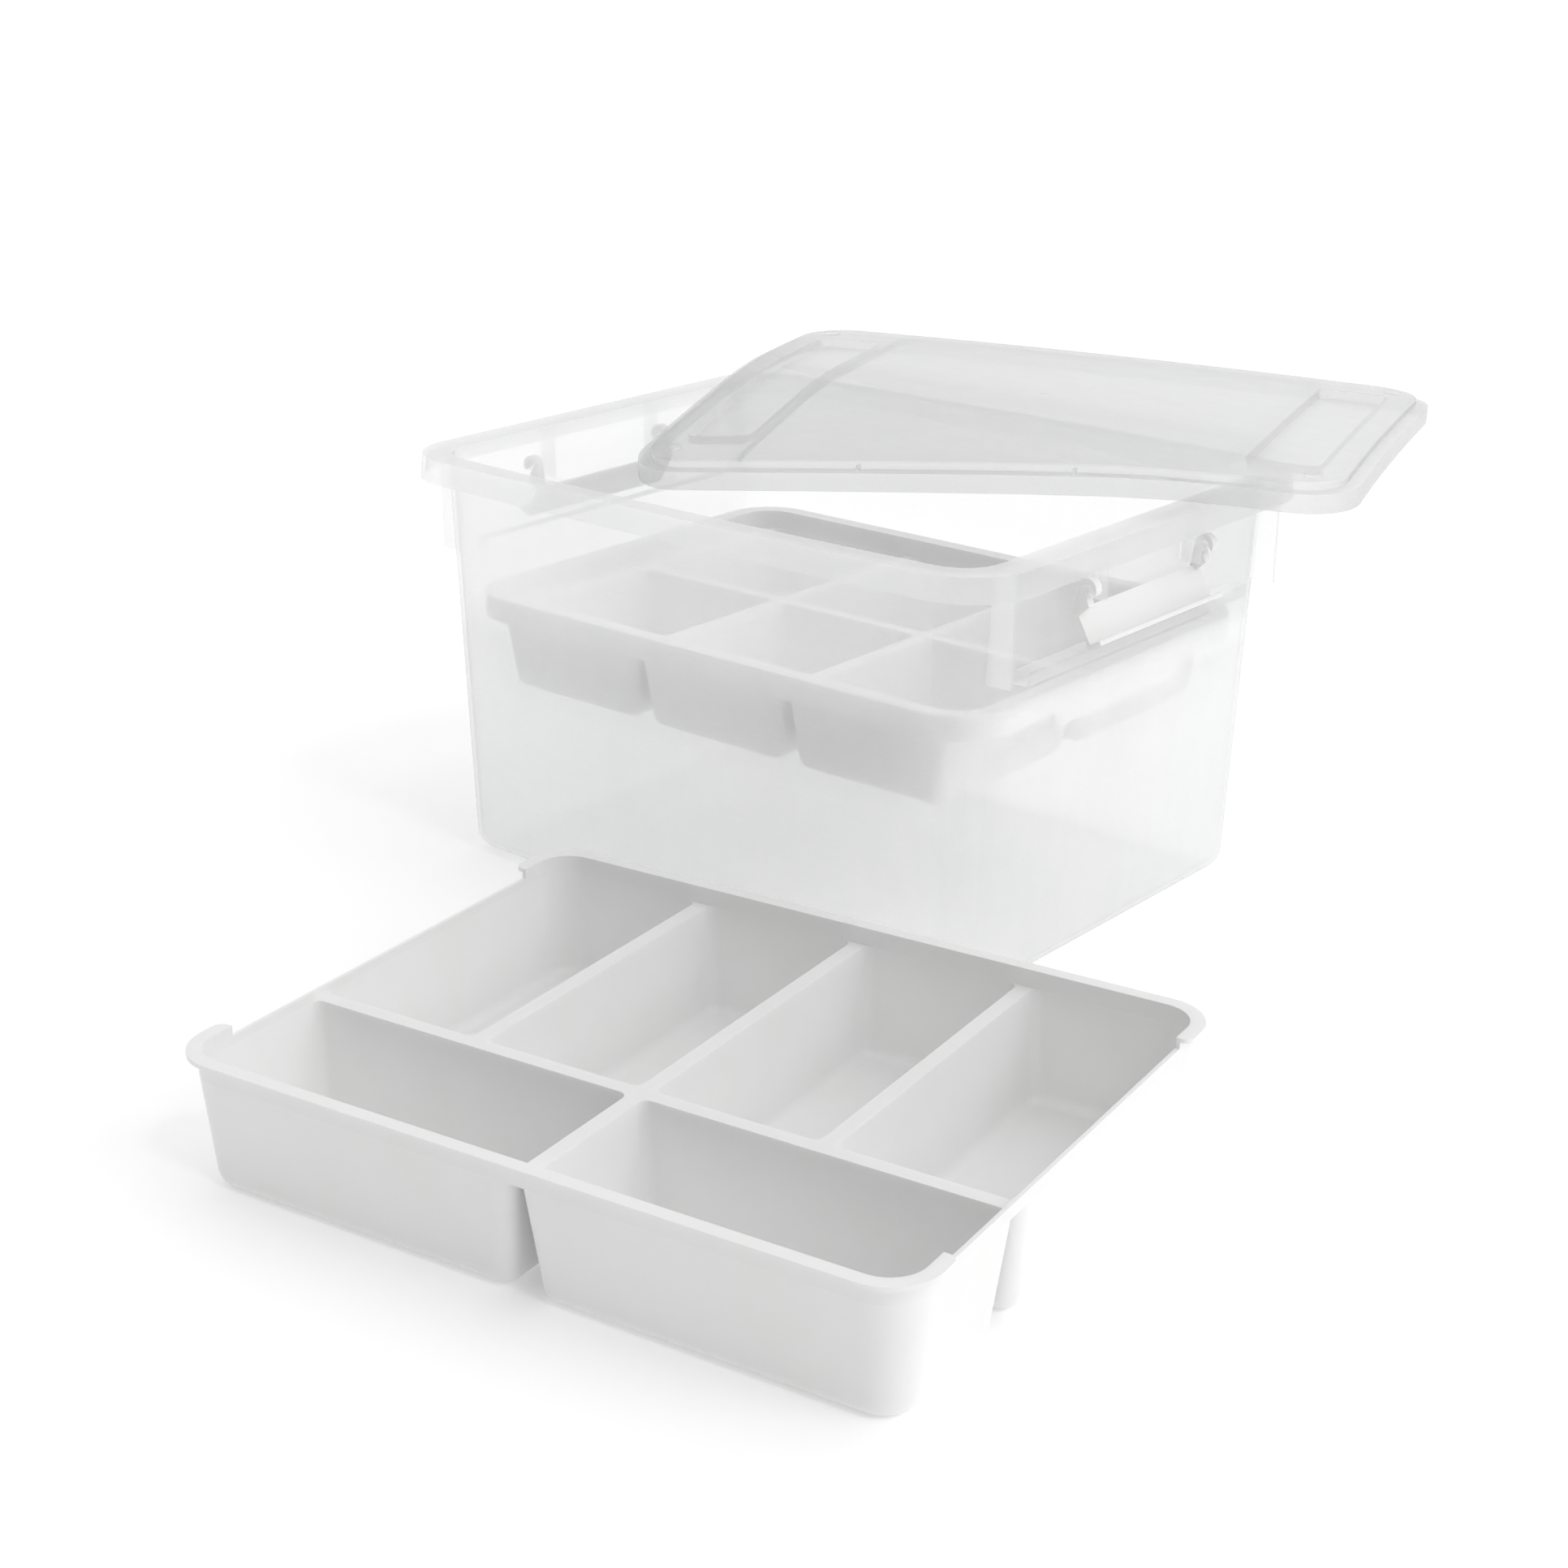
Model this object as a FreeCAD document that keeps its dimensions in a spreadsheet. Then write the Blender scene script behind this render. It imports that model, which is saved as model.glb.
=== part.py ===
import FreeCAD, Part
import math
import os
import re
import sys

import Sketcher

# Art supply box: a clear tub with a clear lid, two white latches, a white tray with six
# compartments and a shallower tray that stands inside the tub. Millimetres, +Z up, origin
# at the middle of the tub's underside. X runs along the tub's long side.

doc = FreeCAD.newDocument("art_supply_box")
sheet = doc.addObject("Spreadsheet::Sheet", "Params")

DIMENSIONS = [
    ("tub_half_length", 200.0, "rim edge at the ends"),
    ("tub_half_width", 156.6, "rim edge at the middle of the long sides"),
    ("tub_height", 234.0, ""),
    ("side_bulge", 4.6, "outward bow of the long sides"),
    ("rim_corner", 36.0, ""),
    ("end_inset", 15.5, "rim edge to the end walls"),
    ("side_inset", 11.0, "rim edge to the long walls"),
    ("rim_depth", 13.0, "skirt of the rim"),
    ("rim_flare", 6.0, "degrees"),
    ("tub_wall", 2.2, ""),
    ("tub_draft", 2.3, "degrees"),
    ("tub_bottom_radius", 14.0, ""),
    ("fin_outer", 195.6, "x of the ribs' free edge"),
    ("fin_thickness", 2.2, ""),
    ("fin_bottom", 175.0, ""),
    ("outer_fin_y", 123.0, ""),
    ("inner_fin_y", 44.0, ""),
    ("inner_fin_bottom", 202.0, ""),
    ("shelf_top", 177.5, ""),
    ("shelf_thickness", 7.0, ""),
    ("shelf_outer", 190.5, ""),
    ("shelf_half_width", 103.0, ""),
    ("pin_x", 192.4, "latch pivot"),
    ("pin_z", 210.2, "latch pivot"),
    ("pin_radius", 2.6, ""),
    ("pin_end_y", 58.0, ""),
    ("latch_half_width", 57.0, ""),
    ("latch_arm", 5.0, "thickness of each side arm"),
    ("latch_plate", 2.2, ""),
    ("latch_offset", 11.0, "pivot to the plate's inner face when shut"),
    ("latch_start", 7.5, "pivot to the plate's lower edge when shut"),
    ("latch_reach", 28.4, "pivot to the lip's top when shut"),
    ("latch_lip", 6.0, ""),
    ("latch_eye", 5.4, "outer radius of the eye"),
    ("latch_clearance", 0.08, ""),
    ("latch_mouth", 4.5, "gap that lets an eye snap over its pin"),
    ("latch_open", 150.0, "degrees from shut to hanging"),
    ("lid_half_length", 203.1, ""),
    ("lid_half_width", 159.7, ""),
    ("lid_corner", 39.0, ""),
    ("lid_wall", 1.8, ""),
    ("lid_skirt", 10.2, "skirt edge to the ledge's top"),
    ("lid_height", 14.4, "skirt edge to the panel's top"),
    ("lid_step", 7.0, "skirt to the raised panel"),
    ("lid_recess_depth", 5.0, ""),
    ("lid_recess_outer", 180.0, "x of the recess's end"),
    ("lid_recess_width", 40.0, ""),
    ("lid_recess_half", 112.0, "half span across the lid"),
    ("lid_gusset", 1.6, "thickness of the webs on the lid's ledge"),
    ("lid_gusset_x", 60.0, ""),
    ("lid_boss", 5.0, "radius of the stacking bosses at the corners"),
    ("lid_boss_x", 180.0, ""),
    ("lid_boss_y", 130.0, ""),
    ("lid_gap", 0.3, "rim to the lid lying on it"),
    ("lid_x", 22.0, "middle of the lid as it lies"),
    ("lid_y", 152.0, "middle of the lid as it lies"),
    ("lid_turn", 18.6, "degrees"),
    ("tray_half_length", 184.5, "flange edge"),
    ("tray_half_width", 142.6, "flange edge"),
    ("tray_height", 65.0, ""),
    ("tray_flange", 5.0, "flange width"),
    ("tray_wall", 2.0, ""),
    ("tray_corner", 24.0, ""),
    ("tray_draft", 5.5, "degrees"),
    ("tray_divider", 7.6, ""),
    ("tray_divider_drop", 9.0, "rim to the dividers' top"),
    ("tray_end_drop", 5.0, "rim to the end walls' top"),
    ("tray_ear", 36.0, "flange left at each corner of the ends"),
    ("tray_row_y", -48.0, "middle of the long divider"),
    ("cup_corner_top", 6.5, "a cup's corners beside the dividers"),
    ("cup_corner_floor", 8.6, "a cup's corners beside the dividers"),
    ("cup_corner_draw", 4.0, "how much tighter the tray's own corners are at the floor"),
    ("cup_bottom_radius", 7.5, ""),
    ("tray_x", 178.2, "middle of the tray on the table"),
    ("tray_y", -325.5, "middle of the tray on the table"),
    ("tray_turn", 8.15, "degrees"),
    ("low_half_length", 175.5, "flange edge"),
    ("low_half_width", 131.0, "flange edge"),
    ("low_height", 54.0, ""),
    ("low_flange", 8.0, "skirt to the cups"),
    ("low_skirt", 13.0, "depth of the skirt round the rim"),
    ("low_corner", 30.0, ""),
    ("low_end_shelf", 14.0, "flat shelf at each end of the cups"),
    ("low_collar", 11.0, "rim to the cups' top"),
    ("low_row_y", 0.0, "middle of the long divider"),
    ("low_grip_half", 58.0, "half width of each end grip"),
    ("low_grip_depth", 21.0, ""),
    ("ledge_y", 66.0, "middle of each ledge that the lower tray rests on"),
    ("ledge_reach", 170.6, "x of the ledges' free edge"),
    ("low_rim_z", 155.5, "height of the lower tray's rim inside the tub"),
    ("low_x", 2.0, "middle of the lower tray inside the tub"),
]

for row, (alias, value, note) in enumerate(DIMENSIONS, start=1):
    sheet.set("A%d" % row, alias)
    sheet.set("B%d" % row, str(value))
    sheet.set("C%d" % row, note)
    sheet.setAlias("B%d" % row, alias)
doc.recompute()


def dim(alias):
    return float(sheet.get(alias))


def evaluate(text):
    """Value of an expression written with the sheet's aliases."""
    return float(sheet.evalExpression(text))


def bound(text):
    """The same expression as other objects write it, with the sheet's name in front."""
    aliases = "|".join(alias for alias, value, note in DIMENSIONS)
    return re.sub(r"\b(%s)\b" % aliases, r"Params.\1", text)


def new_body(label):
    body = doc.addObject("PartDesign::Body", label)
    body.Label = label
    return body


def plane(body, role):
    return next(f for f in body.Origin.OriginFeatures if f.Role == role)


def add_sketch(body, name, level):
    """A sketch on the body's XY plane, lifted to an expression's height."""
    sketch = body.newObject("Sketcher::SketchObject", name)
    sketch.AttachmentSupport = [(plane(body, "XY_Plane"), "")]
    sketch.MapMode = "FlatFace"
    sketch.setExpression("AttachmentOffset.Base.z", bound(level))
    return sketch


def bind(sketch, kind, geometry, text, name):
    """Add a dimension to a sketch and tie it to the sheet."""
    index = sketch.addConstraint(Sketcher.Constraint(kind, *geometry, evaluate(text)))
    sketch.renameConstraint(index, name)
    sketch.setExpression("Constraints." + name, bound(text))


def corner_arc(centre_x, centre_y, radius, start, end):
    circle = Part.Circle(FreeCAD.Vector(centre_x, centre_y, 0), FreeCAD.Vector(0, 0, 1), radius)
    return Part.ArcOfCircle(circle, start, end)


def outline(body, name, level, half_x, half_y, corner, bulge="0", middle=("0", "0")):
    """A closed rounded rectangle whose long sides may bow outwards by the bulge.

    corner is one radius, or four for the back right, back left, front left and front right
    corners of an outline with straight sides.
    """
    corners = (corner,) * 4 if isinstance(corner, str) else corner
    a, b, bow = (evaluate(text) for text in (half_x, half_y, bulge))
    radii = [evaluate(text) for text in corners]
    r = radii[0]
    mx, my = (evaluate(text) for text in middle)
    sketch = add_sketch(body, name, level)
    point = FreeCAD.Vector
    if bow > 0:
        big = (a * a + bow * bow) / (2 * bow)
        big_text = "((%s)^2 + (%s)^2) / (2 * (%s))" % (half_x, bulge, bulge)
        centre = b - big
        knee = centre + math.sqrt((big - r) ** 2 - (a - r) ** 2)
        tilt = math.atan2(knee - centre, a - r)
        top = corner_arc(mx, my + centre, big, tilt, math.pi - tilt)
        bottom = corner_arc(mx, my - centre, big, math.pi + tilt, 2 * math.pi - tilt)
    else:
        tilt = math.pi / 2
        back_right, back_left, front_left, front_right = radii
        top = Part.LineSegment(point(mx + a - back_right, my + b, 0),
                               point(mx - a + back_left, my + b, 0))
        bottom = Part.LineSegment(point(mx - a + front_left, my - b, 0),
                                  point(mx + a - front_right, my - b, 0))
    knees = [knee] * 4 if bow > 0 else [b - radius for radius in radii]
    sketch.addGeometry([
        Part.LineSegment(point(mx + a, my - knees[3], 0), point(mx + a, my + knees[0], 0)),
        corner_arc(mx + a - radii[0], my + knees[0], radii[0], 0, tilt),
        top,
        corner_arc(mx - a + radii[1], my + knees[1], radii[1], math.pi - tilt, math.pi),
        Part.LineSegment(point(mx - a, my + knees[1], 0), point(mx - a, my - knees[2], 0)),
        corner_arc(mx - a + radii[2], my - knees[2], radii[2], math.pi, math.pi + tilt),
        bottom,
        corner_arc(mx + a - radii[3], my - knees[3], radii[3], 2 * math.pi - tilt, 2 * math.pi),
    ], False)
    for index in range(8):
        sketch.addConstraint(Sketcher.Constraint("Tangent", index, 2, (index + 1) % 8, 1))
    for index in (0, 4):
        sketch.addConstraint(Sketcher.Constraint("Vertical", index))
    bind(sketch, "DistanceX", (-1, 1, 0, 1), "%s + %s" % (middle[0], half_x), "right")
    bind(sketch, "DistanceX", (-1, 1, 4, 1), "%s - (%s)" % (middle[0], half_x), "left")
    for number, text in enumerate(corners):
        if bow == 0 or number == 0:
            bind(sketch, "Radius", (2 * number + 1,), text, "corner%d" % number)
    if bow > 0:
        for index in (3, 5, 7):
            sketch.addConstraint(Sketcher.Constraint("Equal", 1, index))
        sketch.addConstraint(Sketcher.Constraint("Equal", 2, 6))
        sketch.addConstraint(Sketcher.Constraint("PointOnObject", 2, 3, -2))
        sketch.addConstraint(Sketcher.Constraint("PointOnObject", 6, 3, -2))
        bind(sketch, "Radius", (2,), big_text, "bow")
        bind(sketch, "DistanceY", (-1, 1, 2, 3), "%s - %s" % (half_y, big_text), "back")
        bind(sketch, "DistanceY", (-1, 1, 6, 3), "%s - (%s)" % (big_text, half_y), "front")
    else:
        for index in (2, 6):
            sketch.addConstraint(Sketcher.Constraint("Horizontal", index))
        bind(sketch, "DistanceY", (-1, 1, 2, 1), "%s + %s" % (middle[1], half_y), "back")
        bind(sketch, "DistanceY", (-1, 1, 6, 1), "%s - (%s)" % (middle[1], half_y), "front")
    return sketch


def grow(body, kind, name, sketch, length, down, taper="0"):
    """Pad or pocket a sketch up or down and check that the solid changed."""
    before = body.Shape.Volume if not body.Shape.isNull() else 0.0
    feature = body.newObject("PartDesign::" + kind, name)
    feature.Profile = sketch
    feature.setExpression("Length", bound(length))
    # A pad rises from its sketch and a pocket sinks from it unless reversed.
    feature.Reversed = down if kind == "Pad" else not down
    if taper != "0":
        feature.setExpression("TaperAngle", bound(taper))
    body.Tip = feature
    doc.recompute()
    after = body.Shape.Volume
    changed = after - before if kind == "Pad" else before - after
    if changed < 1.0:
        raise RuntimeError("%s of %s changed nothing" % (name, body.Label))
    return feature


def drafted(body, kind, name, top_z, bottom_z, half, corners, middle):
    """Add or cut a cup whose walls draw in towards its floor.

    corners holds the corner radii at the top and at the floor.
    """
    draw = "(%s - (%s)) * tan(tray_draft)" % (top_z, bottom_z)
    top = outline(body, name + "_top", top_z, half[0], half[1], corners[0], "0", middle)
    floor = outline(body, name + "_floor", bottom_z, "(%s) - %s" % (half[0], draw),
                    "(%s) - %s" % (half[1], draw), corners[1], "0", middle)
    feature = body.newObject("PartDesign::%sLoft" % kind, name)
    feature.Profile = top
    feature.Sections = [floor]
    feature.Ruled = True
    body.Tip = feature
    doc.recompute()
    return feature


def edge_names(shape, wanted):
    return ["Edge%d" % (i + 1) for i, edge in enumerate(shape.Edges) if wanted(edge)]


def lies_at(level, limit=None):
    """Test for an edge that lies flat at one height, inside a half-length if one is given."""
    def wanted(edge):
        box = edge.BoundBox
        flat = abs(box.ZMin - level) < 1e-3 and abs(box.ZMax - level) < 1e-3
        return flat and (limit is None or max(abs(box.XMin), abs(box.XMax)) < limit)
    return wanted


def round_edges(body, name, wanted, radius):
    feature = body.Tip
    names = edge_names(feature.Shape, wanted)
    if not names:
        raise RuntimeError("%s of %s found no edges" % (name, body.Label))
    fillet = body.newObject("PartDesign::Fillet", name)
    fillet.Base = (feature, names)
    fillet.setExpression("Radius", bound(radius))
    body.Tip = fillet
    doc.recompute()
    return fillet


def block(body, kind, name, x, y, z):
    """A box between pairs of expressions, added to the body or cut from it."""
    feature = body.newObject("PartDesign::%sBox" % kind, name)
    for prop, (low, high) in zip(("Length", "Width", "Height"), (x, y, z)):
        feature.setExpression(prop, bound("(%s) - (%s)" % (high, low)))
    for axis, (low, high) in zip("xyz", (x, y, z)):
        feature.setExpression("Placement.Base." + axis, bound(low))
    body.Tip = feature
    return feature


def rod(body, kind, name, radius, x, y, z, length):
    """A round rod along +Y from an expression's point, added to the body or cut from it."""
    feature = body.newObject("PartDesign::%sCylinder" % kind, name)
    feature.setExpression("Radius", bound(radius))
    feature.setExpression("Height", bound(length))
    feature.Placement = FreeCAD.Placement(
        FreeCAD.Vector(), FreeCAD.Rotation(FreeCAD.Vector(1, 0, 0), -90))
    for axis, text in zip("xyz", (x, y, z)):
        feature.setExpression("Placement.Base." + axis, bound(text))
    body.Tip = feature
    return feature


# ---------------------------------------------------------------- clear tub
def make_tub():
    body = new_body("clear_tub")
    rim = outline(body, "rim_outline", "tub_height", "tub_half_length", "tub_half_width",
                  "rim_corner", "side_bulge")
    grow(body, "Pad", "rim", rim, "rim_depth", True, "rim_flare")
    under = outline(body, "rim_underside", "tub_height - tub_wall", "tub_half_length - tub_wall",
                    "tub_half_width - tub_wall", "rim_corner - tub_wall", "side_bulge")
    grow(body, "Pocket", "rim_hollow", under, "rim_depth", True, "rim_flare")
    wall = outline(body, "wall_outline", "tub_height", "tub_half_length - end_inset",
                   "tub_half_width - side_inset", "rim_corner - side_inset", "side_bulge")
    grow(body, "Pad", "walls", wall, "tub_height", True, "-tub_draft")
    add_end_ribs(body)
    inside = outline(body, "cavity_outline", "tub_height",
                     "tub_half_length - end_inset - tub_wall",
                     "tub_half_width - side_inset - tub_wall",
                     "rim_corner - side_inset - tub_wall", "side_bulge")
    grow(body, "Pocket", "cavity", inside, "tub_height - tub_wall", True, "-tub_draft")
    round_edges(body, "cavity_round", lies_at(dim("tub_wall"), dim("tub_half_length")),
                "tub_bottom_radius - tub_wall")
    round_edges(body, "bottom_round", lies_at(0.0), "tub_bottom_radius")
    add_ledges(body)
    return body


def mirrored(sign, low, high):
    """A span along X at the right end, or its mirror image at the left end."""
    return (low, high) if sign > 0 else ("-(%s)" % high, "-(%s)" % low)


def add_end_ribs(body):
    """Shelf, ribs and latch pins moulded on both end walls."""
    inner = "tub_half_length - end_inset - 4 * tub_wall"
    for end, sign in (("left", -1), ("right", 1)):
        block(body, "Additive", end + "_shelf", mirrored(sign, inner, "shelf_outer"),
              ("-shelf_half_width", "shelf_half_width"),
              ("shelf_top - shelf_thickness", "shelf_top"))
        for where, side in (("near", -1), ("far", 1)):
            for kind, bottom in (("outer", "fin_bottom"), ("inner", "inner_fin_bottom")):
                middle = "%d * %s_fin_y" % (side, kind)
                block(body, "Additive", "%s_%s_%s_rib" % (end, where, kind),
                      mirrored(sign, inner, "fin_outer"),
                      (middle + " - fin_thickness / 2", middle + " + fin_thickness / 2"),
                      (bottom, "tub_height - tub_wall / 2"))
            start = "inner_fin_y" if side > 0 else "-pin_end_y"
            rod(body, "Additive", "%s_%s_pin" % (end, where), "pin_radius",
                "%d * pin_x" % sign, start, "pin_z", "pin_end_y - inner_fin_y")
    doc.recompute()


def add_ledges(body):
    """Small ledges inside both end walls, under the lower tray's skirt."""
    top = "low_rim_z - low_skirt - lid_gap"
    wall = "tub_half_length - end_inset - tub_wall / 2 - (tub_height - low_rim_z) * tan(tub_draft)"
    for end, sign in (("left", -1), ("right", 1)):
        for where, side in (("near", -1), ("far", 1)):
            middle = "%d * ledge_y" % side
            block(body, "Additive", "%s_%s_ledge" % (end, where),
                  mirrored(sign, "ledge_reach", wall + " - 0.3"),
                  (middle + " - 5", middle + " + 5"), (top + " - 6", top))
    doc.recompute()


def stud(body, name, radius, x, y, z, height):
    """A low round boss that stands up from an expression's point."""
    feature = body.newObject("PartDesign::AdditiveCylinder", name)
    feature.setExpression("Radius", bound(radius))
    feature.setExpression("Height", bound(height))
    for axis, text in zip("xyz", (x, y, z)):
        feature.setExpression("Placement.Base." + axis, bound(text))
    body.Tip = feature
    return feature


# ---------------------------------------------------------------- clear lid
def make_lid():
    body = new_body("clear_lid")
    skirt = outline(body, "skirt_outline", "0", "lid_half_length", "lid_half_width",
                    "lid_corner", "side_bulge")
    grow(body, "Pad", "skirt", skirt, "lid_skirt", False)
    panel = outline(body, "panel_outline", "lid_skirt", "lid_half_length - lid_step",
                    "lid_half_width - lid_step", "lid_corner - lid_step", "side_bulge")
    grow(body, "Pad", "panel", panel, "lid_height - lid_skirt", False)
    under = outline(body, "skirt_inside", "0", "lid_half_length - lid_wall",
                    "lid_half_width - lid_wall", "lid_corner - lid_wall", "side_bulge")
    grow(body, "Pocket", "skirt_hollow", under, "lid_skirt - lid_wall", False)
    middle = "(lid_recess_outer - lid_recess_width / 2)"
    for end, sign in (("left", -1), ("right", 1)):
        recess = outline(body, end + "_recess_outline", "lid_height", "lid_recess_width / 2",
                         "lid_recess_half", "6", "0", ("%d * %s" % (sign, middle), "0"))
        grow(body, "Pocket", end + "_recess", recess, "lid_recess_depth", True, "-8")
    hollow = outline(body, "panel_inside", "lid_skirt - lid_wall",
                     "lid_recess_outer - lid_recess_width - 2 * lid_wall",
                     "lid_half_width - lid_step - lid_wall", "12", "side_bulge * 0.46")
    grow(body, "Pocket", "panel_hollow", hollow, "lid_height - lid_skirt", False)
    round_edges(body, "panel_round", panel_edge, "1.4")
    add_lid_details(body)
    body.setExpression("Placement.Base.x", "Params.lid_x")
    body.setExpression("Placement.Base.y", "Params.lid_y")
    body.setExpression("Placement.Base.z", "Params.tub_height + Params.lid_gap")
    turn(body, "lid_turn")
    return body


def add_lid_details(body):
    """Webs on the ledge of the long sides, stacking bosses and the moulding gate's mark."""
    for side, toward in (("near", -1), ("far", 1)):
        for end, sign in (("left", -1), ("right", 1)):
            middle = "%d * lid_gusset_x" % sign
            low, high = mirrored(toward, "lid_half_width - lid_step - lid_wall",
                                 "lid_half_width - lid_wall - side_bulge * 0.3")
            block(body, "Additive", "%s_%s_gusset" % (side, end),
                  (middle + " - lid_gusset / 2", middle + " + lid_gusset / 2"), (low, high),
                  ("lid_skirt - lid_wall / 2", "lid_height - 1.6"))
        for end, sign in (("left", -1), ("right", 1)):
            stud(body, "%s_%s_boss" % (side, end), "lid_boss", "%d * lid_boss_x" % sign,
                 "%d * lid_boss_y" % toward, "lid_height - lid_wall / 2", "lid_wall / 2 + 0.8")
    stud(body, "gate_mark", "3", "0", "0", "lid_height - lid_wall / 2", "lid_wall / 2 + 0.4")
    doc.recompute()


def panel_edge(edge):
    """The outer edges of the lid's raised panel, at its top."""
    box = edge.BoundBox
    flat = abs(box.ZMin - dim("lid_height")) < 1e-3 and abs(box.ZMax - dim("lid_height")) < 1e-3
    outside_y = max(abs(box.YMin), abs(box.YMax)) > dim("lid_recess_half") + 2
    return flat and (outside_y or min(abs(box.XMin), abs(box.XMax)) > dim("lid_recess_outer") + 2)


def turn(body, alias):
    """Turn a body about the vertical through its own origin by an angle from the sheet."""
    place = body.Placement
    place.Rotation = FreeCAD.Rotation(FreeCAD.Vector(0, 0, 1), dim(alias))
    body.Placement = place


# ---------------------------------------------------------------- latches
def make_latch(label, sign):
    """A latch drawn shut on the +X end, then hung open on its pins."""
    body = new_body(label)
    plate_x = ("latch_offset", "latch_offset + latch_plate")
    block(body, "Additive", "plate", plate_x, ("-latch_half_width", "latch_half_width"),
          ("latch_start", "latch_reach"))
    block(body, "Additive", "lip",
          ("latch_offset + latch_plate - latch_lip - latch_plate", "latch_offset + latch_plate"),
          ("-latch_half_width", "latch_half_width"),
          ("latch_reach - latch_plate - 0.3", "latch_reach"))
    for side, start in (("near", "-latch_half_width"), ("far", "latch_half_width - latch_arm")):
        rod(body, "Additive", side + "_eye", "latch_eye", "0", start, "0", "latch_arm")
        add_arm(body, side, start)
        rod(body, "Subtractive", side + "_bore", "pin_radius + latch_clearance", "0",
            start + " - 1", "0", "latch_arm + 2")
        block(body, "Subtractive", side + "_mouth", ("-latch_mouth / 2", "latch_mouth / 2"),
              (start + " - 1", start + " + latch_arm + 1"), ("0", "latch_eye + 1"))
    doc.recompute()
    round_edges(body, "plate_round", long_edge, "0.7")
    open_turn = FreeCAD.Rotation(FreeCAD.Vector(0, 1, 0), dim("latch_open"))
    mirror_turn = FreeCAD.Rotation(FreeCAD.Vector(0, 0, 1), 0 if sign > 0 else 180)
    body.Placement = FreeCAD.Placement(
        FreeCAD.Vector(sign * dim("pin_x"), 0, dim("pin_z")), mirror_turn.multiply(open_turn))
    return body


def add_arm(body, side, start):
    """The web that joins an eye to the plate, clear of the rim's skirt."""
    sketch = body.newObject("Sketcher::SketchObject", side + "_arm_outline")
    sketch.AttachmentSupport = [(plane(body, "XZ_Plane"), "")]
    sketch.MapMode = "FlatFace"
    sketch.setExpression("AttachmentOffset.Base.z", bound("-(%s)" % start))
    outer = "latch_offset + latch_plate"
    corners = [
        ("latch_mouth / 2 + 0.5", "latch_eye * 0.75"),
        ("latch_eye * 0.6", "latch_start + 1.4"),
        ("latch_offset", "latch_start + 3.2"),
        (outer, "latch_start + 3.2"),
        (outer, "latch_start"),
        ("latch_eye * 0.72", "-latch_eye * 0.69"),
    ]
    points = [FreeCAD.Vector(evaluate(u), evaluate(v), 0) for u, v in corners]
    count = len(points)
    sketch.addGeometry([Part.LineSegment(points[i], points[(i + 1) % count])
                        for i in range(count)], False)
    for i in range(count):
        sketch.addConstraint(Sketcher.Constraint("Coincident", i, 2, (i + 1) % count, 1))
    for i, (u, v) in enumerate(corners):
        bind(sketch, "DistanceX", (-1, 1, i, 1), u, "across%d" % i)
        bind(sketch, "DistanceY", (-1, 1, i, 1), v, "up%d" % i)
    grow(body, "Pad", side + "_arm", sketch, "latch_arm", True)


def long_edge(edge):
    """The plate's and the lip's free edges along Y."""
    box = edge.BoundBox
    return box.YLength > 1.9 * dim("latch_half_width") and box.ZMin > dim("latch_start") + 5


# ---------------------------------------------------------------- trays
def make_tray(label, size, row_y, columns, cup_span):
    """A tray of drafted cups under one rim.

    size names the half length, half width, height, rim corner, flange width, skirt depth and
    depth of the collar over the cups. columns gives the number of cups in the front row and in
    the back row, and cup_span the cups' extent along X.
    """
    half_length, half_width, height, corner, flange, skirt, collar = size
    body = new_body(label)
    wall_x = "%s - %s" % (half_length, flange)
    wall_y = "%s - %s" % (half_width, flange)
    wall_corner = "%s - %s" % (corner, flange)
    web_z = "%s - %s - tray_wall" % (height, collar)
    rim = outline(body, "rim_outline", height, half_length, half_width, corner)
    grow(body, "Pad", "rim", rim, skirt, True)
    if evaluate(skirt) > dim("tray_wall"):
        under = outline(body, "rim_underside", height + " - tray_wall",
                        half_length + " - tray_wall", half_width + " - tray_wall",
                        corner + " - tray_wall")
        grow(body, "Pocket", "rim_hollow", under, skirt, True)
    web = outline(body, "web_outline", height, wall_x, wall_y, wall_corner)
    grow(body, "Pad", "web", web, collar + " + tray_wall", True)
    cups = cup_list(cup_span, wall_y, row_y, columns)
    for name, middle, half, outer in cups:
        shell = tuple(cup_corners(level, outer, wall_corner, "0") for level in ("top", "floor"))
        drafted(body, "Additive", name + "_shell", web_z, "0", half, shell, middle)
    mouth = outline(body, "mouth_outline", height, wall_x + " - tray_wall",
                    wall_y + " - tray_wall", wall_corner + " - tray_wall")
    grow(body, "Pocket", "mouth", mouth, collar, True)
    for name, middle, half, outer in cups:
        hollow = tuple(cup_corners(level, outer, wall_corner, "tray_wall")
                       for level in ("top", "floor"))
        drafted(body, "Subtractive", name + "_hollow", "%s - %s" % (height, collar),
                "tray_wall", [text + " - tray_wall" for text in half], hollow, middle)
    round_edges(body, "floor_rounds", lies_at(dim("tray_wall")), "cup_bottom_radius - tray_wall")
    round_edges(body, "cup_rounds", lies_at(0.0), "cup_bottom_radius")
    return body


def cup_corners(level, outer, wall_corner, inset):
    """The four corner radii of a cup: large where it fills a corner of the tray."""
    large = wall_corner if level == "top" else wall_corner + " - cup_corner_draw"
    small = "cup_corner_" + level
    return tuple("%s - %s" % (large if is_outer else small, inset) for is_outer in outer)


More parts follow.
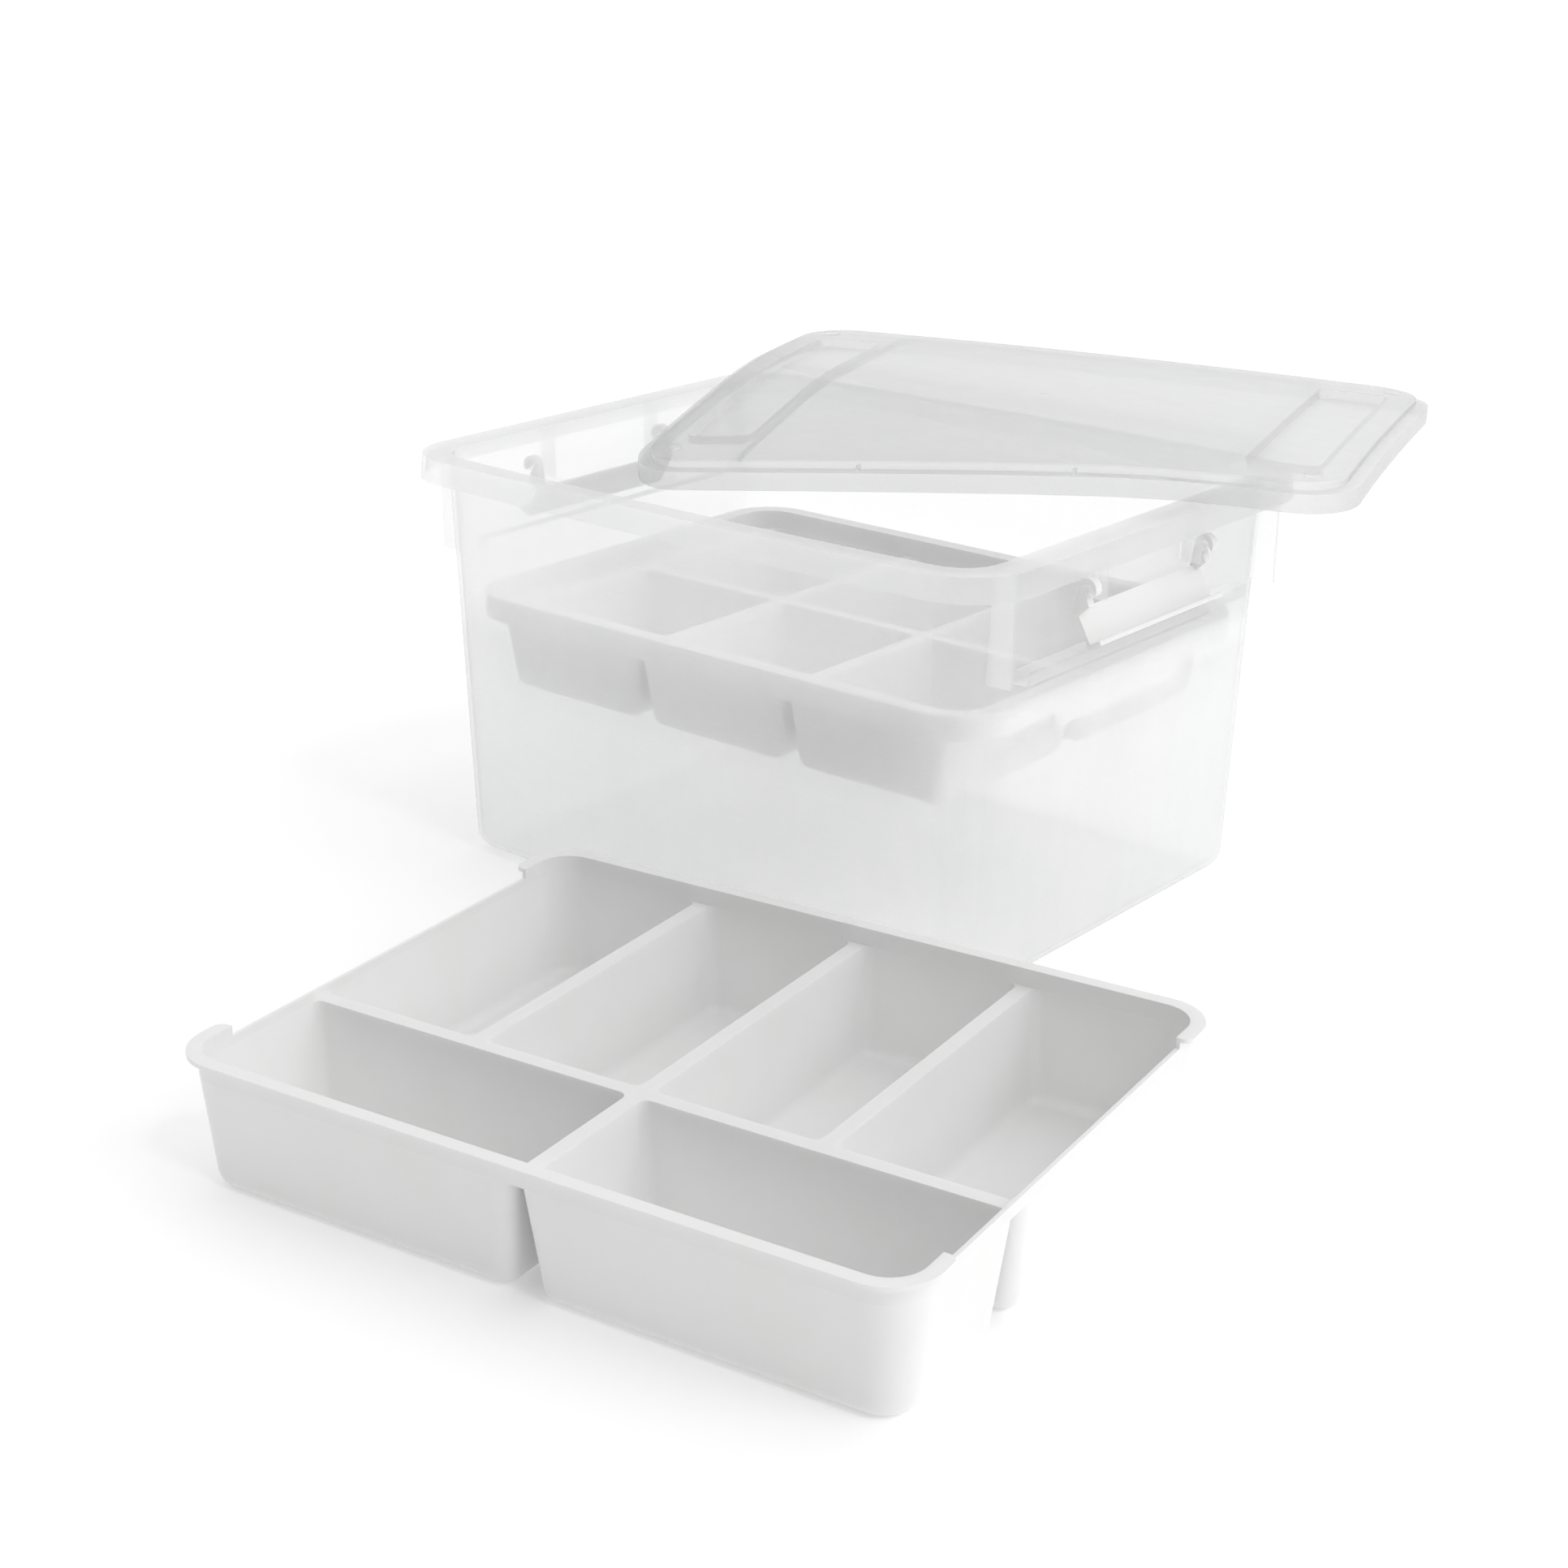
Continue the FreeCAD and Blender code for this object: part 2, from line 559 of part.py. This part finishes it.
def cup_list(cup_span, wall_y, row_y, columns):
    """Name, middle and half sizes of each cup's outside, and which corners are the tray's."""
    cups = []
    half_gap = "(tray_divider / 2 - tray_wall)"
    left, right = cup_span
    fills_corners = "end_shelf" not in left
    rows = (("front", "-(%s)" % wall_y, "%s - %s" % (row_y, half_gap), columns[0]),
            ("back", "%s + %s" % (row_y, half_gap), wall_y, columns[1]))
    for row, low_y, high_y, count in rows:
        middle_y = "((%s) + (%s)) / 2" % (low_y, high_y)
        half_y = "((%s) - (%s)) / 2" % (high_y, low_y)
        pitch = "((%s) - (%s)) / %d" % (right, left, count)
        for number in range(count):
            low_x = "%s + %d * %s" % (left, number, pitch)
            high_x = low_x + " + " + pitch
            if number > 0:
                low_x += " + " + half_gap
            if number < count - 1:
                high_x += " - " + half_gap
            middle_x = "((%s) + (%s)) / 2" % (low_x, high_x)
            half_x = "((%s) - (%s)) / 2" % (high_x, low_x)
            at_left = fills_corners and number == 0
            at_right = fills_corners and number == count - 1
            outer = ((at_right, at_left, False, False) if row == "back"
                     else (False, False, at_left, at_right))
            cups.append(("%s_cup_%d" % (row, number + 1), (middle_x, middle_y),
                         ("(%s)" % half_x, "(%s)" % half_y), outer))
    return cups


def lower_ends(body, half_length, half_width, height):
    """Cut the end walls down between the ears that are left at the corners."""
    for end, sign in (("left", -1), ("right", 1)):
        span = mirrored(sign, "%s - tray_flange - 3 * tray_wall" % half_length,
                        "%s + 2" % half_length)
        block(body, "Subtractive", end + "_end_cut", span,
              ("-(%s - tray_ear)" % half_width, "%s - tray_ear" % half_width),
              ("%s - tray_end_drop" % height, "%s + 1" % height))
    doc.recompute()
    ear_y = evaluate("%s - tray_ear" % half_width)
    ear_x = evaluate(half_length)
    top = evaluate(height)

    def ear_edge(edge):
        box = edge.BoundBox
        upright = box.ZLength > 0.9 * dim("tray_wall") and box.XLength + box.YLength < 1e-3
        return (upright and abs(abs(box.YMin) - ear_y) < 1e-2 and abs(abs(box.XMin) - ear_x) < 1e-2
                and box.ZMax > top - 1e-2)

    round_edges(body, "ear_rounds", ear_edge, "tray_flange - 0.4")


def add_grips(body):
    """A plate hanging from the middle of each end of the lower tray's rim."""
    for end, sign in (("left", -1), ("right", 1)):
        block(body, "Additive", end + "_grip",
              mirrored(sign, "low_half_length - tray_wall", "low_half_length"),
              ("-low_grip_half", "low_grip_half"),
              ("low_height - low_grip_depth", "low_height - 0.5"))
    doc.recompute()


def place_trays(upper, lower):
    for axis in "xy":
        upper.setExpression("Placement.Base." + axis, "Params.tray_" + axis)
    turn(upper, "tray_turn")
    lower.setExpression("Placement.Base.x", "Params.low_x")
    lower.setExpression("Placement.Base.z", "Params.low_rim_z - Params.low_height")


tub = make_tub()
lid = make_lid()
latches = [make_latch("left_latch", -1), make_latch("right_latch", 1)]
upper_tray = make_tray(
    "six_compartment_tray",
    ("tray_half_length", "tray_half_width", "tray_height", "tray_corner", "tray_flange",
     "tray_wall", "tray_divider_drop"),
    "tray_row_y", (2, 4), ("tray_flange - tray_half_length", "tray_half_length - tray_flange"))
lower_ends(upper_tray, "tray_half_length", "tray_half_width", "tray_height")
lower_tray = make_tray(
    "lower_tray",
    ("low_half_length", "low_half_width", "low_height", "low_corner", "low_flange",
     "low_skirt", "low_collar"),
    "low_row_y", (3, 3),
    ("low_flange + low_end_shelf - low_half_length",
     "low_half_length - low_flange - low_end_shelf"))
add_grips(lower_tray)
place_trays(upper_tray, lower_tray)
doc.recompute()

pieces = [tub, lid, upper_tray, lower_tray] + latches
bad = [o.Label for o in doc.Objects if "Invalid" in o.State or "Error" in o.State]
bad += [p.Label for p in pieces if p.Shape.isNull() or not p.Shape.isValid()]
bad += [p.Label for p in pieces if len(p.Shape.Solids) != 1]
if bad:
    sys.exit("failed objects: " + ", ".join(bad))

os.makedirs("parts", exist_ok=True)
for piece in pieces:
    piece.Shape.exportStep("parts/%s.step" % piece.Label)
    box = piece.Shape.BoundBox
    print("%-22s volume %9.0f  x %7.1f %7.1f  y %7.1f %7.1f  z %6.1f %6.1f" % (
        piece.Label, piece.Shape.Volume, box.XMin, box.XMax, box.YMin, box.YMax,
        box.ZMin, box.ZMax))
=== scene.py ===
import math

import bmesh
import bpy
from mathutils import Matrix, Vector


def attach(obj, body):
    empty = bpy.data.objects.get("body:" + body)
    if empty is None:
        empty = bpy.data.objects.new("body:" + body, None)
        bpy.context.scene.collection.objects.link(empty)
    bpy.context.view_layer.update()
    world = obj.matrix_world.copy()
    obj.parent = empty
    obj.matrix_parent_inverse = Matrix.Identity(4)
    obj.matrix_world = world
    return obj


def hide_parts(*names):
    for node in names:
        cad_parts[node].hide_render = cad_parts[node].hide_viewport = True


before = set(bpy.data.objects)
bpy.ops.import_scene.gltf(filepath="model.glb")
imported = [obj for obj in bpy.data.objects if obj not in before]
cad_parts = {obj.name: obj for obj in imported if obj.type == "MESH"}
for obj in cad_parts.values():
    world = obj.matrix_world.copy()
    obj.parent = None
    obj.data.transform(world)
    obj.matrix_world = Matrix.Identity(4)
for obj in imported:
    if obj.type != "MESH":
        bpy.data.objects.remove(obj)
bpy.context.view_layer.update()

MM = 0.001
PLASTIC_IOR = 1.49


# ---------------------------------------------------------------- sizes and settings
# The thin lid rests on the rim at two points and its free corners sag below the line that
# joins them: inside the tub on one side, beyond it on the other. Its overhanging end droops.
REST_LEFT = Vector((-191.0, 152.0)) * MM
REST_RIGHT = Vector((200.0, 47.0)) * MM
REST_BAND = 18.0 * MM
SAG_INSIDE = 26.0 * MM
REACH_INSIDE = 186.0 * MM
INSIDE_CURVE = 1.25
SAG_OUTSIDE = 12.0 * MM
REACH_OUTSIDE = 300.0 * MM
SAG_OVERHANG = 5.0 * MM
RIM_END = 200.0 * MM
OVERHANG = 65.0 * MM
SAG_STEPS = 20
CUT_TOLERANCE = 1e-7

# Scratches: noise drawn out along one axis, kept where it is high.
SCRATCH_STRETCH = 0.06
SCRATCH_START = 0.55
SCRATCH_END = 0.8

# The floor reaches this many metres each way and lies just under the object.
FLOOR_HALF = 25.0
FLOOR_DROP = 0.3 * MM

# The room is brighter on the side that the main light comes from.
ROOM_BRIGHT_SIDE = (0.05, 0.79, 0.61)
ROOM_DIM_FROM = -0.8
ROOM_DIM = 0.03
ROOM_BRIGHT = 1.12

# Each lamp: its name, azimuth and height in degrees, strength and width in degrees.
SUNS = (
    ("side", 14.0, 33.0, 0.5, 36.0),
    ("glint", -12.0, 52.0, 0.2, 7.0),
)

# The view: where the camera stands round the tub, what it looks at and how long its lens is.
CAMERA_TURN = 39.97
CAMERA_RISE = 20.5
CAMERA_ROLL = 0.35
CAMERA_DISTANCE = 1335.8 * MM
CAMERA_REACH = 100.0
AIM = Vector((56.9, -134.0, 100.0)) * MM
SENSOR = 36.0
LENS = 59.577
LENS_SHIFT = (0.00699, -0.00399)


# ---------------------------------------------------------------- node helpers
class Shader:
    """A material under construction: nodes by type, linked by socket name."""

    def __init__(self, name):
        self.material = bpy.data.materials.new(name)
        self.material.use_nodes = True
        self.tree = self.material.node_tree
        self.tree.nodes.clear()
        self.output = self.node("ShaderNodeOutputMaterial")
        self.surface = self.node("ShaderNodeBsdfPrincipled")
        self.link(self.surface, "BSDF", self.output, "Surface")
        self.place = self.node("ShaderNodeTexCoord")

    def node(self, kind, **values):
        made = self.tree.nodes.new(kind)
        for key, value in values.items():
            setattr(made, key, value)
        return made

    def link(self, source, out, target, into):
        self.tree.links.new(source.outputs[out], target.inputs[into])

    def noise(self, scale, detail=3.0, rough=0.5, stretch=None):
        """Noise over the object's own coordinates; scale counts cycles per metre."""
        made = self.node("ShaderNodeTexNoise")
        made.inputs["Scale"].default_value = scale
        made.inputs["Detail"].default_value = detail
        made.inputs["Roughness"].default_value = rough
        if stretch is None:
            self.link(self.place, "Object", made, "Vector")
        else:
            mapping = self.node("ShaderNodeMapping")
            mapping.inputs["Scale"].default_value = stretch
            self.link(self.place, "Object", mapping, "Vector")
            self.link(mapping, "Vector", made, "Vector")
        return made

    def spread(self, source, out, low, high, start=0.3, end=0.7):
        """Map a noise onto a range of values."""
        made = self.node("ShaderNodeMapRange")
        made.inputs["From Min"].default_value = start
        made.inputs["From Max"].default_value = end
        made.inputs["To Min"].default_value = low
        made.inputs["To Max"].default_value = high
        self.link(source, out, made, "Value")
        return made

    def math(self, operation, first, second):
        """Combine two (node, output) pairs, or a pair and a number."""
        made = self.node("ShaderNodeMath", operation=operation)
        for index, term in enumerate((first, second)):
            if isinstance(term, tuple):
                self.tree.links.new(term[0].outputs[term[1]], made.inputs[index])
            else:
                made.inputs[index].default_value = term
        return made

    def tint(self, source, out, first, second, start=0.3, end=0.7):
        """A colour ramp between two colours."""
        made = self.node("ShaderNodeValToRGB")
        made.color_ramp.elements[0].position = start
        made.color_ramp.elements[1].position = end
        made.color_ramp.elements[0].color = (*first, 1.0)
        made.color_ramp.elements[1].color = (*second, 1.0)
        self.link(source, out, made, "Fac")
        return made

    def bump(self, source, out, distance, strength=1.0, below=None):
        made = self.node("ShaderNodeBump")
        made.inputs["Distance"].default_value = distance
        made.inputs["Strength"].default_value = strength
        self.link(source, out, made, "Height")
        if below is not None:
            self.link(below, "Normal", made, "Normal")
        return made

    def mix(self, amount, first, second):
        """Mix two shader nodes by a number or by a (node, output) pair."""
        made = self.node("ShaderNodeMixShader")
        if isinstance(amount, tuple):
            self.link(amount[0], amount[1], made, "Fac")
        else:
            made.inputs["Fac"].default_value = amount
        for index, shader in enumerate((first, second), start=1):
            self.tree.links.new(shader.outputs[0], made.inputs[index])
        return made

    def set(self, **values):
        for key, value in values.items():
            self.surface.inputs[key.replace("_", " ")].default_value = value


def scuffs(shader):
    """Fine scratches in two directions, as a 0 to 1 mask."""
    along = shader.noise(1100.0, 2.0, stretch=(SCRATCH_STRETCH, 1.0, 1.0))
    across = shader.noise(1300.0, 2.0, stretch=(1.0, SCRATCH_STRETCH, 1.0))
    first = shader.spread(along, "Fac", 0.0, 1.0, SCRATCH_START, SCRATCH_END)
    second = shader.spread(across, "Fac", 0.0, 1.0, SCRATCH_START, SCRATCH_END)
    return shader.math("MAXIMUM", (first, "Result"), (second, "Result"))


def tone(level, tint):
    """A colour of the given level, tinted; no level passes full white."""
    return tuple(min(1.0, level) * k for k in tint)


def white_plastic(name, shade, roughness):
    """White polypropylene: slight flow marks, fine grain, faint scuffs.

    The roughness stays above 0.27 all over. Where it crosses that level the denoiser draws edges.
    """
    s = Shader(name)
    flow = s.noise(14.0, 4.0, 0.6)
    warm = tone(shade, (1.0, 0.998, 0.99))
    cool = tone(shade * 1.035, (1.0, 1.0, 1.002))
    colour = s.tint(flow, "Fac", warm, cool)
    s.link(colour, "Color", s.surface, "Base Color")
    worn = scuffs(s)
    base = s.spread(s.noise(55.0, 3.0, 0.6), "Fac", roughness - 0.05, roughness + 0.06)
    total = s.math("MULTIPLY_ADD", (worn, "Value"), 0.03)
    s.link(base, "Result", total, 2)
    s.link(total, "Value", s.surface, "Roughness")
    fine = s.bump(s.noise(1300.0, 2.0, 0.6), "Fac", 0.03 * MM, 0.15)
    wave = s.bump(s.noise(22.0, 2.0, 0.4), "Fac", 0.4 * MM, 0.25, fine)
    s.link(wave, "Normal", s.surface, "Normal")
    # Thin walls let some light soak through, so deep corners stay pale.
    s.set(IOR=PLASTIC_IOR, Subsurface_Weight=0.3, Subsurface_Radius=(1.0, 0.98, 0.95),
          Subsurface_Scale=6.0 * MM)
    return s.material


def clear_plastic(name, shade, haze, edge, roughness):
    """Translucent polypropylene: the haze scatters light to both sides of the wall.

    haze is how much of a wall seen square on is milky, edge how much more it is when seen along
    its surface. The gloss lies over both the milky and the clear part. The roughness stays below
    0.27 all over, for the reason given at white_plastic.
    """
    s = Shader(name)
    flow = s.noise(9.0, 4.0, 0.6, (1.0, 1.0, 0.45))
    cool = tone(shade, (0.985, 0.992, 1.0))
    colour = s.tint(flow, "Fac", cool, tone(shade * 1.03, (1.0, 1.0, 1.0)))
    s.link(colour, "Color", s.surface, "Base Color")
    glance = s.node("ShaderNodeLayerWeight")
    glance.inputs["Blend"].default_value = 0.28
    rim = s.math("MULTIPLY", (glance, "Facing"), edge)
    cloud = s.spread(flow, "Fac", haze * 0.95, haze * 1.06)
    film = s.math("ADD", (rim, "Value"), (cloud, "Result"))
    worn = scuffs(s)
    milky = s.math("MULTIPLY_ADD", (worn, "Value"), 0.02)
    s.link(film, "Value", milky, 2)
    # Only the face that looks outwards carries the haze, so a wall counts once, not twice.
    facing = s.node("ShaderNodeNewGeometry")
    outward = s.math("SUBTRACT", 1.0, (facing, "Backfacing"))
    seen = s.math("MULTIPLY", (milky, "Value"), (outward, "Value"))
    rubbed = s.spread(s.noise(40.0, 3.0, 0.6), "Fac", roughness - 0.04, roughness + 0.05)
    wave = s.bump(s.noise(16.0, 2.0, 0.4, (1.0, 1.0, 0.5)), "Fac", 0.3 * MM, 0.3)
    fine = s.bump(s.noise(900.0, 2.0, 0.6), "Fac", 0.02 * MM, 0.4, wave)
    s.link(rubbed, "Result", s.surface, "Roughness")
    s.link(fine, "Normal", s.surface, "Normal")
    s.set(IOR=PLASTIC_IOR)

    # Most of the haze sends light on through the wall, the rest sends it back.
    through = s.node("ShaderNodeBsdfTranslucent")
    s.link(colour, "Color", through, "Color")
    both = s.mix(0.8, s.surface, through)
    body = s.mix((seen, "Value"), s.node("ShaderNodeBsdfTransparent"), both)

    gloss = s.node("ShaderNodeBsdfGlossy")
    s.link(rubbed, "Result", gloss, "Roughness")
    s.link(fine, "Normal", gloss, "Normal")
    shine = s.node("ShaderNodeFresnel")
    shine.inputs["IOR"].default_value = 1.38
    s.link(fine, "Normal", shine, "Normal")
    glossy = s.math("MULTIPLY", (shine, "Fac"), (outward, "Value"))
    top = s.mix((glossy, "Value"), body, gloss)
    s.link(top, "Shader", s.output, "Surface")
    return s.material


def paint(obj, material):
    """Give an object a material in all its slots."""
    if not obj.material_slots:
        obj.data.materials.append(material)
    for slot in obj.material_slots:
        slot.material = material


# ---------------------------------------------------------------- the lid as it lies
def make_lying_lid():
    """The moulded lid's own mesh, cut into strips across the sag and let down."""
    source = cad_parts["clear_lid"]
    mesh = source.data.copy()
    mesh.name = "lying_lid"
    obj = bpy.data.objects.new("lying_lid", mesh)
    bpy.context.scene.collection.objects.link(obj)
    along = (REST_RIGHT - REST_LEFT).normalized()
    across = Vector((-along.y, along.x, 0.0))
    origin = REST_LEFT.to_3d()
    build = bmesh.new()
    build.from_mesh(mesh)
    offsets = [(v.co - origin).dot(across) for v in build.verts]
    low, high = min(offsets), max(offsets)
    for step in range(1, SAG_STEPS):
        offset = low + (high - low) * step / SAG_STEPS
        everything = build.verts[:] + build.edges[:] + build.faces[:]
        bmesh.ops.bisect_plane(build, geom=everything, dist=CUT_TOLERANCE,
                               plane_co=origin + across * offset, plane_no=across)
    for v in build.verts:
        offset = (v.co - origin).dot(across)
        inside = max(0.0, -offset - REST_BAND) / (REACH_INSIDE - REST_BAND)
        outside = max(0.0, offset) / REACH_OUTSIDE
        overhang = max(0.0, v.co.x - RIM_END) / OVERHANG * max(0.0, 1.0 - outside)
        v.co.z -= SAG_INSIDE * inside ** INSIDE_CURVE + SAG_OUTSIDE * outside ** 2
        v.co.z -= SAG_OVERHANG * overhang ** 2
    build.to_mesh(mesh)
    build.free()
    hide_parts("clear_lid")
    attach(obj, "clear_lid")
    return obj


lying_lid = make_lying_lid()
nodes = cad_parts
lid_clear = clear_plastic("lid_clear", shade=0.70, haze=0.42, edge=0.45, roughness=0.2)
tub_clear = clear_plastic("tub_clear", shade=0.97, haze=0.40, edge=0.45, roughness=0.12)
latch_white = white_plastic("latch_white", shade=0.84, roughness=0.34)
paint(lying_lid, lid_clear)
paint(nodes["clear_lid"], lid_clear)
paint(nodes["clear_tub"], tub_clear)
paint(nodes["six_compartment_tray"], white_plastic("tray_white", shade=0.88, roughness=0.35))
paint(nodes["lower_tray"], white_plastic("lower_tray_white", shade=0.95, roughness=0.38))
paint(nodes["left_latch"], latch_white)
paint(nodes["right_latch"], latch_white)


# ---------------------------------------------------------------- floor, light and camera
def make_floor():
    mesh = bpy.data.meshes.new("floor")
    obj = bpy.data.objects.new("floor", mesh)
    bpy.context.scene.collection.objects.link(obj)
    build = bmesh.new()
    bmesh.ops.create_grid(build, x_segments=2, y_segments=2, size=FLOOR_HALF)
    build.to_mesh(mesh)
    build.free()
    obj.location.z = -FLOOR_DROP
    s = Shader("floor_white")
    colour = s.tint(s.noise(3.0), "Fac", (0.975, 0.975, 0.975), (0.99, 0.99, 0.99))
    s.link(colour, "Color", s.surface, "Base Color")
    # A lit sweep: the surface glows a little itself, which keeps shadows faint.
    s.link(colour, "Color", s.surface, "Emission Color")
    s.set(Roughness=0.8, IOR=1.3, Emission_Strength=0.21)
    mesh.materials.append(s.material)


def make_light():
    world = bpy.data.worlds.new("studio")
    bpy.context.scene.world = world
    world.use_nodes = True
    tree = world.node_tree
    back = tree.nodes["Background"]
    back.inputs["Color"].default_value = (1.0, 1.0, 1.0, 1.0)
    place = tree.nodes.new("ShaderNodeTexCoord")
    side = tree.nodes.new("ShaderNodeVectorMath")
    side.operation = "DOT_PRODUCT"
    side.inputs[1].default_value = ROOM_BRIGHT_SIDE
    level = tree.nodes.new("ShaderNodeMapRange")
    level.inputs["From Min"].default_value = ROOM_DIM_FROM
    level.inputs["To Min"].default_value = ROOM_DIM
    level.inputs["To Max"].default_value = ROOM_BRIGHT
    tree.links.new(place.outputs["Generated"], side.inputs[0])
    tree.links.new(side.outputs["Value"], level.inputs["Value"])
    tree.links.new(level.outputs["Result"], back.inputs["Strength"])
    for name, azimuth, height, strength, width in SUNS:
        lamp = bpy.data.lights.new(name, "SUN")
        lamp.energy = strength
        lamp.angle = math.radians(width)
        obj = bpy.data.objects.new(name, lamp)
        bpy.context.scene.collection.objects.link(obj)
        a, e = math.radians(azimuth), math.radians(height)
        towards = Vector((math.cos(a) * math.cos(e), math.sin(a) * math.cos(e), math.sin(e)))
        obj.rotation_euler = towards.to_track_quat("Z", "Y").to_euler()


def make_camera():
    a, e, r = (math.radians(v) for v in (CAMERA_TURN, CAMERA_RISE, CAMERA_ROLL))
    back = Vector((math.sin(a) * math.cos(e), -math.cos(a) * math.cos(e), math.sin(e)))
    right = Vector((math.cos(a), math.sin(a), 0.0))
    up = back.cross(right)
    right, up = right * math.cos(r) + up * math.sin(r), up * math.cos(r) - right * math.sin(r)
    data = bpy.data.cameras.new("camera")
    data.sensor_width = SENSOR
    data.lens = LENS
    data.shift_x, data.shift_y = LENS_SHIFT
    data.clip_end = CAMERA_REACH
    obj = bpy.data.objects.new("camera", data)
    bpy.context.scene.collection.objects.link(obj)
    turn = Matrix((right, up, back)).transposed().to_4x4()
    obj.matrix_world = Matrix.Translation(AIM + back * CAMERA_DISTANCE) @ turn
    bpy.context.scene.camera = obj


make_floor()
make_light()
make_camera()
bpy.context.scene.view_settings.view_transform = "Standard"
